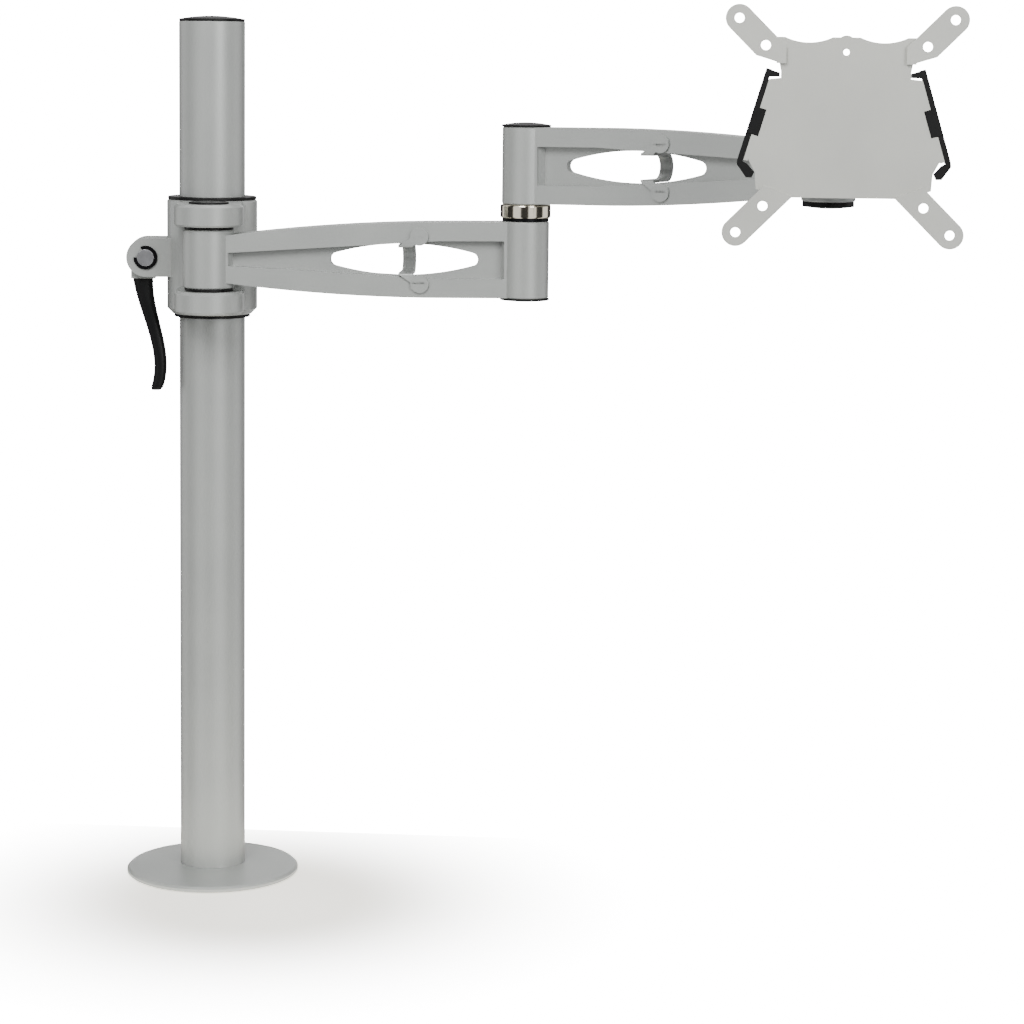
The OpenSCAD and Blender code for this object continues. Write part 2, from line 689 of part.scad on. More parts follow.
module tilt_fork() color(GREY) translate([plate_x, plate_y, tilt_z]) difference() {
    union() {
        translate([0, fork_front, 0]) rotate([-90, 0, 0]) cylinder(r = fork_d / 2, h = fork_t);
        for (side = [-1, 1]) {
            translate([side * (cheek_in + cheek_out) / 2 - fork_t / 2, fork_front, -cheek_r])
                cube([fork_t, tilt_reach - fork_front, 2 * cheek_r]);
            translate([side * (cheek_in + cheek_out) / 2, tilt_reach, 0]) rotate([0, 90, 0])
                cylinder(r = cheek_r, h = fork_t, center = true);
        }
    }
    translate([0, fork_front - over, 0]) rotate([-90, 0, 0])
        cylinder(r = bolt_r + run_gap, h = fork_t + 2 * over);
    translate([0, tilt_reach, 0]) rotate([0, 90, 0])
        cylinder(r = bolt_r + fix_gap, h = 2 * cheek_out + 2 * over, center = true);
}

module tilt_bolt() color(STEEL) at_tilt() rotate([0, 90, 0]) {
    translate([0, 0, -cheek_out - 5.05]) difference() {
        cylinder(r = 6.5, h = 5);
        translate([0, 0, -over]) cylinder(r = 3.4, h = 3 + over, $fn = 6);
    }
    translate([0, 0, -cheek_out - 0.1]) cylinder(r = bolt_r, h = 2 * cheek_out + 8);
}

module tilt_washers() color(BLACK) at_tilt() for (side = [-1, 1])
    translate([side * (knuckle_w / 2 + 0.05 + tilt_washer_t / 2), 0, 0]) rotate([0, 90, 0])
        translate([0, 0, -tilt_washer_t / 2]) tube(8.6, bolt_r + fix_gap, tilt_washer_t);

module tilt_nut() color(STEEL) at_tilt() translate([cheek_out + 0.05, 0, 0]) rotate([0, 90, 0])
    hex_nut(m8_nut_r, 6.5, bolt_r + fix_gap);

// ---------------------------------------------------------------- plate and receiver

module behind_plate(depth) translate([plate_x, plate_y + depth, tilt_z])
    rotate([90, 0, 0]) mirror([0, 0, 1]) children();

// half widths of the pocket's inner walls, measured along the leaning side
side_mid_x = 40.9; // outer face of the side flange, half way up
side_mid_z = 4.2;
function side_x(z) = side_mid_x - (z - side_mid_z) * tan(side_lean);
module on_side(hand) mirror([hand < 0 ? 1 : 0, 0, 0])
    translate([side_mid_x, side_mid_z]) rotate(side_lean) children();

wedge_in = sheet_t + 0.35;
flange_low = 1 - side_len / 2;
wedge_low = -16.5;
wedge_top = 22;
neck_z = 22.4;
crease_x = 28;
crease_w = 4.5;
bump_r = 4.6;
sag_r = 26;
notch_in = 3.2;
notch_low = -8.6;
notch_h = 13;
lock_hole_z = 34.6;

module receiver() color(STEEL) difference() {
    union() {
        behind_plate(receiver_front) linear_extrude(receiver_t) polygon([
            [-side_x(wedge_low) + wedge_in, wedge_low], [side_x(wedge_low) - wedge_in, wedge_low],
            [side_x(wedge_top) - wedge_in, wedge_top], [-side_x(wedge_top) + wedge_in, wedge_top]
        ]);
        behind_plate(receiver_front) cylinder(r = boss_r, h = boss_back - receiver_front);
    }
    behind_plate(receiver_front - over) cylinder(r = bolt_r + fix_gap, h = 20);
    behind_plate(receiver_front - over) cylinder(r = 9, h = 3.2 + over);
}

module turn_washer() color(BLACK) behind_plate(boss_back + 0.05)
    tube(boss_r, bolt_r + fix_gap, turn_washer_t - 0.1);

module turn_bolt() color(STEEL) {
    behind_plate(receiver_front + 0.3) difference() {
        cylinder(r = 8.6, h = 2.9);
        translate([0, 0, -over]) cylinder(r = 3, h = 2 + over, $fn = 6);
    }
    behind_plate(receiver_front + 3)
        cylinder(r = bolt_r, h = fork_back + turn_nut_h - receiver_front - 3);
}

module turn_nut() color(STEEL) behind_plate(fork_back + 0.1)
    hex_nut(m8_nut_r, turn_nut_h - 0.1, bolt_r + fix_gap);

module both_sides() for (hand = [0, 1]) mirror([hand, 0]) children();

// each tab is a round-ended strip on the pattern's diagonal
module tabs() both_sides() for (turn = [45, -45]) rotate(turn) {
    end = vesa_large / 2 * sqrt(2);
    translate([end, 0]) circle(r = tab_w / 2);
    translate([end - 50, -tab_w / 2]) square([50, tab_w]);
}

// the tabs' roots follow the body's neck above and a slanted crease below
module between_tabs() both_sides() {
    translate([-1, 20]) square([crease_x + 1, 90]);
    polygon([
        [-1, -34.8], [19, -34.8], [44, -25.3], [47, 36],
        [41.8, 32.7], [37.1, 31.3], [31, 29.4], [-1, 29.4]
    ]);
}

// the joggle between the two levels is a solid step across each root
module crease() intersection() {
    tabs();
    both_sides() {
        translate([crease_x - 0.1, 29.2]) square([crease_w, 15]);
        polygon([[22, -33.6], [44, -25.3], [46.8, -28], [24.6, -37.6]]);
    }
}

module plate_body() difference() {
    union() {
        both_sides() polygon([
            [-1, -body_low_z], [27, -body_low_z], [40.9, -29.6], [41.4, -21.8],
            [body_wide_x, -14], [side_x(-7.5), -7.5], [side_x(21.8), 21.8],
            [30.2, neck_z], [30.2, 25.4], [31, 29.4], [crease_x + crease_w, 31.8],
            [crease_x + crease_w, body_top_z + 2.5], [-1, body_top_z + 2.5]
        ]);
        translate([0, body_top_z - 1.2]) circle(r = bump_r);
    }
    // the top edge sags either side of a small bump
    difference() {
        both_sides() translate([17.5, body_top_z + sag_r]) circle(r = sag_r);
        translate([0, body_top_z - 1.2]) circle(r = bump_r);
    }
}

module vesa_plate() color(PALE) difference() {
    union() {
        behind_plate(0) linear_extrude(sheet_t) difference() {
            tabs();
            between_tabs();
        }
        behind_plate(0) linear_extrude(body_back) crease();
        behind_plate(body_front) linear_extrude(sheet_t) plate_body();
        for (hand = [-1, 1]) {
            behind_plate(body_front) linear_extrude(lip_back - body_front) on_side(hand)
                translate([-sheet_t, flange_low]) square([sheet_t, side_len - 5]);
            behind_plate(lip_front) linear_extrude(sheet_t) on_side(hand)
                translate([-sheet_t - lip_w, flange_low]) square([lip_w + 1, side_len - 5]);
        }
    }
    for (size = [vesa_large, vesa_small]) for (sx = [-1, 1]) for (sz = [-1, 1])
        behind_plate(-over) translate([sx * size / 2, sz * size / 2])
            cylinder(r = vesa_hole_d / 2, h = 2 * over + body_back);
    behind_plate(-over) translate([0, lock_hole_z])
        cylinder(r = lock_hole_d / 2, h = 2 * over + body_back);
    for (hand = [-1, 1]) behind_plate(body_front - over) linear_extrude(sheet_t + over)
        on_side(hand) translate([-notch_in, notch_low]) square([notch_in + 4, notch_h]);
}

module liner(hand) {
    half = side_len / 2;
    outer = 0.1 + liner_t;
    behind_plate(body_front + 0.1) linear_extrude(lip_back - body_front) on_side(hand)
        translate([0.1, -half]) square([liner_t, side_len + 1]);
    // foot that turns in under the side flange, in front of the receiver's wedge
    behind_plate(body_front + 0.1) linear_extrude(sheet_t - 0.1) on_side(hand) polygon([
        [outer, -half + 0.1], [outer - 0.4, -half - 2], [-3.6, -half - 6.6],
        [-6.2, -half - 5.9], [-6.6, -half - 3], [-2.2, -half - 0.3], [0.1, -half + 0.1]
    ]);
    // hook over the top of the side flange
    behind_plate(body_front + 0.1) linear_extrude(lip_back - body_front)
        mirror([hand < 0 ? 1 : 0, 0, 0]) polygon([
            [30.7, neck_z + 0.5], [side_x(neck_z + 0.5) + 1, neck_z + 0.5],
            [side_x(26.4) + outer, 26.8], [30.7, 24.9]
        ]);
    // pad that fills the notch in the plate's edge
    behind_plate(body_front - 0.4) linear_extrude(sheet_t) on_side(hand)
        translate([0.2 - notch_in, notch_low + 0.2]) square([notch_in + outer - 0.2, notch_h - 0.4]);
}

module liner_left() color(BLACK) liner(-1);
module liner_right() color(BLACK) liner(1);

base_pad();
base_flange();
post_foot();
flange_screws();
post_tube();
post_cap();
upper_bush();
lower_bush();
collar();
pivot_bolt();
pivot_cap();
pivot_nut();
lever_pin();
lever_circlips();
brake_shoe();
shoe_pad();
lever_hub();
lever_grip();
lower_arm();
collar_pivot_bushes();
lower_cable_clip();
elbow_spindle();
elbow_bolt();
elbow_bottom_cap();
elbow_washer();
elbow_ring();
upper_arm();
elbow_bushes();
elbow_spring_washer();
elbow_nut();
elbow_top_cap();
upper_cable_clip();
head_pivot_bushes();
head_bottom_cap();
head_neck();
head_spindle();
head_spindle_washer();
head_spindle_nut();
tilt_fork();
tilt_bolt();
tilt_washers();
tilt_nut();
receiver();
turn_washer();
turn_bolt();
turn_nut();
vesa_plate();
liner_left();
liner_right();
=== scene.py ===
import json
import math

import bmesh
import bpy
from mathutils import Matrix, Vector


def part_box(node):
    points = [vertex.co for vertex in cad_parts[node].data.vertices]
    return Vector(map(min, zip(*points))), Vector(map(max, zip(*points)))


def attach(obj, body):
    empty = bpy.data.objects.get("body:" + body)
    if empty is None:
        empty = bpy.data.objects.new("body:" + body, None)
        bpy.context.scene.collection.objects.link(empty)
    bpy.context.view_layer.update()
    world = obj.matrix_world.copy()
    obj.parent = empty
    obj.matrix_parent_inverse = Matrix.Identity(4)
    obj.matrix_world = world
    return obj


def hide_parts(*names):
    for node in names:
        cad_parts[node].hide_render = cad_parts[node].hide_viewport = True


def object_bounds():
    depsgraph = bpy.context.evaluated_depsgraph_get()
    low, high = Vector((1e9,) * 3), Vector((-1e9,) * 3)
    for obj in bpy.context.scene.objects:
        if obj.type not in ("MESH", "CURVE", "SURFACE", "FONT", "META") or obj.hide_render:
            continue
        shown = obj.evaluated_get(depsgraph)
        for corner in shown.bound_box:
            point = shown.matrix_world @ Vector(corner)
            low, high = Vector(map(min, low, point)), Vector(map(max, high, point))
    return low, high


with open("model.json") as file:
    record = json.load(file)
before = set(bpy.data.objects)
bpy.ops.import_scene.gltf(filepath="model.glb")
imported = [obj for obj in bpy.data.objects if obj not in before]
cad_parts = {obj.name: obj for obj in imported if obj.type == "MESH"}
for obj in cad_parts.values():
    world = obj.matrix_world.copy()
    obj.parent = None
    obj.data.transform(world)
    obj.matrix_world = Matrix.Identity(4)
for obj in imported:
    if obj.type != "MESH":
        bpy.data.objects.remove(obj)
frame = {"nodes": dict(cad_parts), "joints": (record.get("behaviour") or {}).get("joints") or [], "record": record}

cad_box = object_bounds()

# ---- Foot flange: a turned steel disc that carries the post, powder coated silver grey.
# Its rim and its slope to the post are turned, and three screws from below pull it to the
# plug in the tube.
def from_hex(code):
    """An sRGB hex colour as linear red, green, blue and alpha."""
    channels = [int(code[i:i + 2], 16) / 255 for i in (1, 3, 5)]
    return [c / 12.92 if c <= 0.04045 else ((c + 0.055) / 1.055) ** 2.4 for c in channels] + [1.0]


def put(tree, kind, feeds=None, **settings):
    """Adds one node, with its settings and what feeds each of its inputs."""
    node = tree.nodes.new(kind)
    for name, value in settings.items():
        setattr(node, name, value)
    for socket, value in (feeds or {}).items():
        if isinstance(value, bpy.types.NodeSocket):
            tree.links.new(value, node.inputs[socket])
        else:
            node.inputs[socket].default_value = value
    return node


def blank_finish(name):
    """A new material with an empty tree and its output node."""
    finish = bpy.data.materials.new(name)
    finish.use_nodes = True
    finish.node_tree.nodes.clear()
    return finish, finish.node_tree, put(finish.node_tree, "ShaderNodeOutputMaterial")


def powder_coat(name, light, dark, roughness):
    """Baked powder coat: a satin skin with a fine orange peel and a slow drift of tone."""
    finish, tree, out = blank_finish(name)
    place = put(tree, "ShaderNodeTexCoord").outputs["Object"]
    # orange peel is about 0.8 mm from crest to crest
    peel = put(tree, "ShaderNodeTexNoise", {"Vector": place, "Scale": 1250.0, "Detail": 2.0})
    # the coat's thickness drifts over some 40 mm
    drift = put(tree, "ShaderNodeTexNoise", {"Vector": place, "Scale": 25.0, "Detail": 3.0})
    tone = put(tree, "ShaderNodeValToRGB", {"Fac": drift.outputs["Fac"]})
    tone.color_ramp.elements[0].position = 0.3
    tone.color_ramp.elements[0].color = from_hex(dark)
    tone.color_ramp.elements[1].position = 0.7
    tone.color_ramp.elements[1].color = from_hex(light)
    shine = put(tree, "ShaderNodeMapRange", {
        "Value": drift.outputs["Fac"], "To Min": roughness - 0.03, "To Max": roughness + 0.04})
    bump = put(tree, "ShaderNodeBump", {
        "Height": peel.outputs["Fac"], "Strength": 0.12, "Distance": 0.00006})
    skin = put(tree, "ShaderNodeBsdfPrincipled", {
        "Base Color": tone.outputs["Color"], "Roughness": shine.outputs["Result"],
        "Normal": bump.outputs["Normal"], "Metallic": 0.25, "IOR": 1.5,
        "Coat Weight": 0.15, "Coat Roughness": 0.3})
    tree.links.new(skin.outputs["BSDF"], out.inputs["Surface"])
    return finish


body_of = {n: b for b, ns in frame["record"]["behaviour"]["bodies"].items() for n in ns}


def clean_copy(node):
    """A merged copy of a part's mesh, with the flat faces joined up again."""
    mesh = frame["nodes"][node].data.copy()
    mesh.materials.clear()
    if "custom_normal" in mesh.attributes:
        mesh.attributes.remove(mesh.attributes["custom_normal"])
    work = bmesh.new()
    work.from_mesh(mesh)
    bmesh.ops.remove_doubles(work, verts=work.verts, dist=2e-6)
    bmesh.ops.dissolve_limit(
        work, angle_limit=math.radians(0.4), verts=work.verts, edges=work.edges)
    work.to_mesh(mesh)
    work.free()
    return mesh


def settle(piece, node, finish):
    """Gives a piece its finish and its body, and hides the part that it stands for."""
    piece.data.materials.clear()
    piece.data.materials.append(finish)
    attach(piece, body_of[node])
    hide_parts(node)
    return piece


def bake(piece):
    """Turns what the modifiers make into the piece's own mesh, and drops them."""
    bpy.context.view_layer.update()
    made = bpy.data.meshes.new_from_object(
        piece.evaluated_get(bpy.context.evaluated_depsgraph_get()))
    piece.modifiers.clear()
    piece.data = made
    return piece


def round_edges(piece, edge, steps, corner):
    """Rounds every edge sharper than corner, in degrees, to a radius in millimetres."""
    piece.data.shade_smooth()
    piece.data.set_sharp_from_angle(angle=math.radians(corner))
    round_off = piece.modifiers.new("round", "BEVEL")
    round_off.width = edge / 1000
    round_off.segments = steps
    round_off.limit_method = "ANGLE"
    round_off.angle_limit = math.radians(corner)
    round_off.use_clamp_overlap = True
    round_off.harden_normals = True
    return bake(piece)


def eased(node, edge, finish, steps=2, corner=26):
    """The part itself, with its sharp edges rounded to a radius in millimetres."""
    piece = bpy.data.objects.new(node + "_eased", clean_copy(node))
    bpy.context.scene.collection.objects.link(piece)
    round_edges(piece, edge, steps, corner)
    return settle(piece, node, finish)


silver_coat = powder_coat("powder_coat_silver", "#a9aca9", "#a3a6a4", 0.40)
eased("base_flange", 0.5, silver_coat, steps=3, corner=20)

# ---- Foot pad: a black rubber disc glued under the flange, so that the foot grips the desk.
def black_moulding(name, colour, roughness, grain):
    """Black moulded plastic or rubber, with the even grain of a spark-eroded mould."""
    finish, tree, out = blank_finish(name)
    place = put(tree, "ShaderNodeTexCoord").outputs["Object"]
    # grain is given in millimetres from crest to crest
    pits = put(tree, "ShaderNodeTexVoronoi", {"Vector": place, "Scale": 1000.0 / grain})
    worn = put(tree, "ShaderNodeTexNoise", {"Vector": place, "Scale": 60.0, "Detail": 4.0})
    shine = put(tree, "ShaderNodeMapRange", {
        "Value": worn.outputs["Fac"], "To Min": roughness - 0.06, "To Max": roughness + 0.08})
    bump = put(tree, "ShaderNodeBump", {
        "Height": pits.outputs["Distance"], "Strength": 0.15, "Distance": 0.00008})
    skin = put(tree, "ShaderNodeBsdfPrincipled", {
        "Base Color": from_hex(colour), "Roughness": shine.outputs["Result"],
        "Normal": bump.outputs["Normal"], "IOR": 1.53, "Specular IOR Level": 0.22})
    tree.links.new(skin.outputs["BSDF"], out.inputs["Surface"])
    return finish


black_rubber = black_moulding("rubber_black", "#121212", 0.75, 0.9)
black_nylon = black_moulding("moulded_nylon_black", "#0a0a0b", 0.45, 0.6)
eased("base_pad", 0.2, black_rubber)

# ---- Foot plug and its screws: turned steel, zinc plated, hidden in the tube.
# The plug takes the desk bolt from below.
def plated_steel(name, colour, roughness, depth):
    """Plated, turned steel: bright metal with fine tool rings and a slight cloud."""
    finish, tree, out = blank_finish(name)
    place = put(tree, "ShaderNodeTexCoord").outputs["Object"]
    # tool rings are drawn 0.5 mm apart, coarser than real ones, so that they show
    flat = put(tree, "ShaderNodeMapping", {"Vector": place, "Scale": (15.0, 15.0, 2000.0)})
    rings = put(tree, "ShaderNodeTexNoise", {
        "Vector": flat.outputs["Vector"], "Scale": 1.0, "Detail": 2.0})
    cloud = put(tree, "ShaderNodeTexNoise", {"Vector": place, "Scale": 120.0, "Detail": 3.0})
    shine = put(tree, "ShaderNodeMapRange", {
        "Value": cloud.outputs["Fac"], "To Min": roughness - 0.05, "To Max": roughness + 0.06})
    bump = put(tree, "ShaderNodeBump", {
        "Height": rings.outputs["Fac"], "Strength": depth, "Distance": 0.00005})
    skin = put(tree, "ShaderNodeBsdfPrincipled", {
        "Base Color": from_hex(colour), "Metallic": 1.0, "Roughness": shine.outputs["Result"],
        "Normal": bump.outputs["Normal"]})
    tree.links.new(skin.outputs["BSDF"], out.inputs["Surface"])
    return finish


zinc_steel = plated_steel("zinc_plated_steel", "#b4b5b8", 0.34, 0.2)
black_oxide = plated_steel("black_oxide_steel", "#1b1b1d", 0.42, 0.1)
eased("post_foot", 0.3, zinc_steel)
eased("flange_screws", 0.2, zinc_steel)

# ---- Post: stock round steel tube, powder coated, with a black push-in cap on top.
# The cap's low crown overhangs nothing: its flange is the tube's own size.
eased("post_tube", 0.35, silver_coat)
eased("post_cap", 0.35, black_nylon, steps=3)

# ---- Collar bushes: two flanged black nylon rings pressed on the post from each end.
# Only their flanges show, as a black line above and below the collar.
eased("upper_bush", 0.3, black_nylon)
eased("lower_bush", 0.3, black_nylon)

# ---- Collar: an aluminium casting round the post, coated like the post. Two round lugs
# at the front take the arm, and two ears at the left take the lever.
eased("collar", 0.9, silver_coat, steps=3)

# ---- Arm pivot: a shouldered steel bolt through both lugs, its nut below, and a black cap
# pressed over its head.
eased("pivot_bolt", 0.3, zinc_steel)
eased("pivot_nut", 0.3, zinc_steel)
eased("pivot_cap", 0.3, black_nylon)

# ---- Lever pin: a turned and zinc-plated pin through both ears and the cam. A black
# spring clip in a groove at each end keeps it in place.
eased("lever_pin", 0.35, zinc_steel)
eased("lever_circlips", 0.15, black_oxide)

# ---- Brake shoe: a steel slug with a rubber face, in a bore through the collar's wall.
# The lever's cam presses it on the post.
eased("brake_shoe", 0.3, zinc_steel)
eased("shoe_pad", 0.2, black_rubber)

# ---- Lever: a coated cam on the pin, with a black moulded grip pushed over its tang.
# The grip bows out from the post and thins to its tip, with a soft round section.
eased("lever_hub", 0.7, silver_coat, steps=3)

low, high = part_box("lever_grip")
swing_joint = next(j for j in frame["joints"] if j["name"] == "lever_swing")
pin = Vector(swing_joint["pos_m"])
along_pin = Vector(swing_joint["axis"]).normalized()
outward = Vector((along_pin.y, -along_pin.x, 0))
grip_len = high.z - low.z
half_deep = 0.0047
# the section is a rounded square: 1 would be an ellipse, and a smaller value is squarer
squareness = 0.62
# the last part of the length draws in by this share, to a blunt end
draw, draw_part = 0.28, 0.03
# four control distances of the grip's middle from the pin, in millimetres, hub to tip
bow_from, bow_near, bow_far, bow_to = -2.0, -1.0, 12.4, 4.8


def bow(t):
    """How far the grip's middle stands from the pin, in metres, on a cubic curve."""
    u = 1 - t
    return (bow_from * u ** 3 + 3 * bow_near * u ** 2 * t
            + 3 * bow_far * u * t ** 2 + bow_to * t ** 3) / 1000


grip_mesh = bpy.data.meshes.new("lever_grip_moulded")
work = bmesh.new()
rings = []
stations, around = 40, 28
for i in range(stations + 1):
    t = i / stations
    # 5.4 mm to each side at the hub, 3.3 mm at the tip
    half_wide = (3.3 + 2.1 * (1 - t) ** 3) / 1000
    draw_in = 1 - draw + draw * math.sqrt(min(1.0, (1 - t) / draw_part))
    here = pin + outward * bow(t)
    here.z = high.z - grip_len * t
    ring = []
    for k in range(around):
        a = 2 * math.pi * k / around
        c, s = math.cos(a), math.sin(a)
        wide = half_wide * draw_in * math.copysign(abs(c) ** squareness, c)
        deep = half_deep * draw_in * math.copysign(abs(s) ** squareness, s)
        ring.append(work.verts.new(here + outward * wide + along_pin * deep))
    rings.append(ring)
for a, b in zip(rings, rings[1:]):
    for k in range(around):
        work.faces.new((a[k], a[(k + 1) % around], b[(k + 1) % around], b[k]))
work.faces.new(rings[0])
work.faces.new(list(reversed(rings[-1])))
bmesh.ops.recalc_face_normals(work, faces=work.faces)
work.to_mesh(grip_mesh)
work.free()
grip_mesh.shade_smooth()
grip_mesh.set_sharp_from_angle(angle=math.radians(50))
grip = bpy.data.objects.new("lever_grip_moulded", grip_mesh)
bpy.context.scene.collection.objects.link(grip)
grip_nylon = black_moulding("moulded_nylon_grip", "#060607", 0.42, 0.6)
settle(grip, "lever_grip", grip_nylon)

# ---- Lower arm: a die-cast aluminium beam with a lens window, coated in silver grey.
# Flanged black bushes run on the collar's pivot bolt.
eased("lower_arm", 0.8, silver_coat, steps=3)
eased("collar_pivot_bushes", 0.3, black_nylon)

# ---- Elbow: a steel spindle bolted through the lower arm's barrel, a dark washer and a
# bright nickel-plated spacer ring on it, and a black cap below.
bright_nickel = plated_steel("bright_nickel_plate", "#ede5d2", 0.11, 0.03)
eased("elbow_spindle", 0.3, zinc_steel)
eased("elbow_bolt", 0.3, zinc_steel)
eased("elbow_bottom_cap", 0.35, black_nylon)
eased("elbow_washer", 0.2, black_oxide)
eased("elbow_ring", 0.35, bright_nickel, steps=3)

# ---- Upper arm: the same casting turned over, on two nylon bushes, held down on the
# spindle by a spring washer and a nut under a black cap.
eased("upper_arm", 0.8, silver_coat, steps=3)
eased("elbow_bushes", 0.2, black_nylon)
eased("elbow_spring_washer", 0.2, zinc_steel)
eased("elbow_nut", 0.3, zinc_steel)
eased("elbow_top_cap", 0.35, black_nylon)

# ---- Cable clips: spring-steel straps, coated like the arms. Each is bent round behind the
# arm, hooks over both edges of the window, and leans over to a round tab on each rim.
# All sizes are in metres: Front is from the arm's middle plane to the strap's inner face,
# Reach from its middle line up to the strap's outer face, Tab Height up to a tab's centre.
strap_sizes = {
    "Offset": 0.0075, "Front": 0.00855, "Reach": 0.0078, "Width": 0.007,
    "Thickness": 0.0015, "Tab Height": 0.0122, "Tab Radius": 0.0047}
small_bend = 0.0009
clip_tree = bpy.data.node_groups.new("bent_strap", "GeometryNodeTree")
sockets = {}
for label, size in strap_sizes.items():
    socket = clip_tree.interface.new_socket(label, in_out="INPUT", socket_type="NodeSocketFloat")
    socket.default_value = size
    sockets[label] = socket.identifier
sockets["Coat"] = clip_tree.interface.new_socket(
    "Coat", in_out="INPUT", socket_type="NodeSocketMaterial").identifier
clip_tree.interface.new_socket("Geometry", in_out="OUTPUT", socket_type="NodeSocketGeometry")
given = put(clip_tree, "NodeGroupInput").outputs
half_t = put(clip_tree, "ShaderNodeMath", {
    0: given["Thickness"], 1: 0.5}, operation="MULTIPLY").outputs[0]
middle = put(clip_tree, "ShaderNodeMath", {0: given["Front"], 1: half_t}, operation="ADD")
face = put(clip_tree, "ShaderNodeMath", {
    0: middle.outputs[0], 1: -1.0}, operation="MULTIPLY").outputs[0]
edge = put(clip_tree, "ShaderNodeMath", {
    0: given["Reach"], 1: half_t}, operation="SUBTRACT").outputs[0]
outside = put(clip_tree, "ShaderNodeMath", {
    0: given["Front"], 1: given["Thickness"]}, operation="ADD")
rear = put(clip_tree, "ShaderNodeMath", {
    0: outside.outputs[0], 1: edge}, operation="ADD").outputs[0]
edge_low = put(clip_tree, "ShaderNodeMath", {0: edge, 1: -1.0}, operation="MULTIPLY").outputs[0]
tab_low = put(clip_tree, "ShaderNodeMath", {
    0: given["Tab Height"], 1: -1.0}, operation="MULTIPLY").outputs[0]
# each stop of the strap's middle line: sideways, forward, up, and the radius of its bend
stops = (
    (0.0, face, given["Tab Height"], 0.0), (given["Offset"], face, edge, small_bend),
    (given["Offset"], rear, edge, edge), (given["Offset"], rear, edge_low, edge),
    (given["Offset"], face, edge_low, small_bend), (0.0, face, tab_low, 0.0))
counter = put(clip_tree, "GeometryNodeInputIndex").outputs[0]
where = put(clip_tree, "GeometryNodeIndexSwitch", data_type="VECTOR")
bend = put(clip_tree, "GeometryNodeIndexSwitch", data_type="FLOAT")
for switch in (where, bend):
    while len(switch.index_switch_items) < len(stops):
        switch.index_switch_items.new()
    clip_tree.links.new(counter, switch.inputs[0])
for i, (x, y, z, radius) in enumerate(stops):
    spot = put(clip_tree, "ShaderNodeCombineXYZ", {0: x, 1: y, 2: z})
    clip_tree.links.new(spot.outputs[0], where.inputs[i + 1])
    if isinstance(radius, float):
        bend.inputs[i + 1].default_value = radius
    else:
        clip_tree.links.new(radius, bend.inputs[i + 1])
row = put(clip_tree, "GeometryNodeMeshLine", {"Count": len(stops)})
laid = put(clip_tree, "GeometryNodeSetPosition", {
    "Geometry": row.outputs[0], "Position": where.outputs[0]})
wire = put(clip_tree, "GeometryNodeMeshToCurve", {"Mesh": laid.outputs[0]})
bent = put(clip_tree, "GeometryNodeFilletCurve", {
    "Curve": wire.outputs[0], "Radius": bend.outputs[0], "Count": 14}, mode="POLY")
flat = put(clip_tree, "GeometryNodeSetCurveNormal", {
    "Curve": bent.outputs[0], "Normal": (1.0, 0.0, 0.0)}, mode="FREE")
section = put(clip_tree, "GeometryNodeCurvePrimitiveQuadrilateral", {
    "Width": given["Width"], "Height": given["Thickness"]})
strap = put(clip_tree, "GeometryNodeCurveToMesh", {
    "Curve": flat.outputs[0], "Profile Curve": section.outputs[0], "Fill Caps": True})
disc = put(clip_tree, "GeometryNodeMeshCylinder", {
    "Vertices": 48, "Radius": given["Tab Radius"], "Depth": given["Thickness"]})
tabs = put(clip_tree, "GeometryNodeJoinGeometry")
clip_tree.links.new(strap.outputs[0], tabs.inputs[0])
for height in (given["Tab Height"], tab_low):
    spot = put(clip_tree, "ShaderNodeCombineXYZ", {0: 0.0, 1: face, 2: height})
    moved = put(clip_tree, "GeometryNodeTransform", {
        "Geometry": disc.outputs[0], "Translation": spot.outputs[0],
        "Rotation": (math.pi / 2, 0, 0)})
    clip_tree.links.new(moved.outputs[0], tabs.inputs[0])
real = put(clip_tree, "GeometryNodeRealizeInstances", {"Geometry": tabs.outputs[0]})
coated = put(clip_tree, "GeometryNodeSetMaterial", {
    "Geometry": real.outputs[0], "Material": given["Coat"]})
put(clip_tree, "NodeGroupOutput", {0: coated.outputs[0]})


def cable_clip(node, at, turned, reach, frame_of_arm):
    """A clip made to size, and set on its arm at its place from the elbow."""
    piece = bpy.data.objects.new(node + "_strap", bpy.data.meshes.new(node + "_strap"))
    bpy.context.scene.collection.objects.link(piece)
    made = piece.modifiers.new("strap", "NODES")
    made.node_group = clip_tree
    for label, size in strap_sizes.items():
        made[sockets[label]] = size
    made[sockets["Offset"]] *= -1 if turned else 1
    made[sockets["Reach"]] = reach
    made[sockets["Coat"]] = silver_coat
    bake(piece)
    round_edges(piece, 0.3, steps=2, corner=30)
    piece.data.transform(frame_of_arm @ Matrix.Translation((at, 0, 0)))
    return settle(piece, node, silver_coat)


elbow_joint = next(j for j in frame["joints"] if j["name"] == "elbow")
elbow_x, elbow_y = elbow_joint["pos_m"][:2]
# an arm's middle line climbs 2 mm over the 164.8 mm between its two axes
rise = math.asin(2 / 164.8)
lower_mid, lower_bearing = 0.3412, math.radians(181.1)
upper_mid, upper_bearing = 0.3898, math.radians(-21.5)
lower_frame = (
    Matrix.Translation((elbow_x, elbow_y, lower_mid)) @ Matrix.Rotation(lower_bearing, 4, "Z")
    @ Matrix.Rotation(math.pi, 4, "X") @ Matrix.Rotation(-rise, 4, "Y"))
upper_frame = (
    Matrix.Translation((elbow_x, elbow_y, upper_mid)) @ Matrix.Rotation(upper_bearing, 4, "Z")
    @ Matrix.Rotation(-rise, 4, "Y"))
cable_clip("lower_cable_clip", 0.054, False, 0.00797, lower_frame)
cable_clip("upper_cable_clip", 0.079, True, 0.00748, upper_frame)

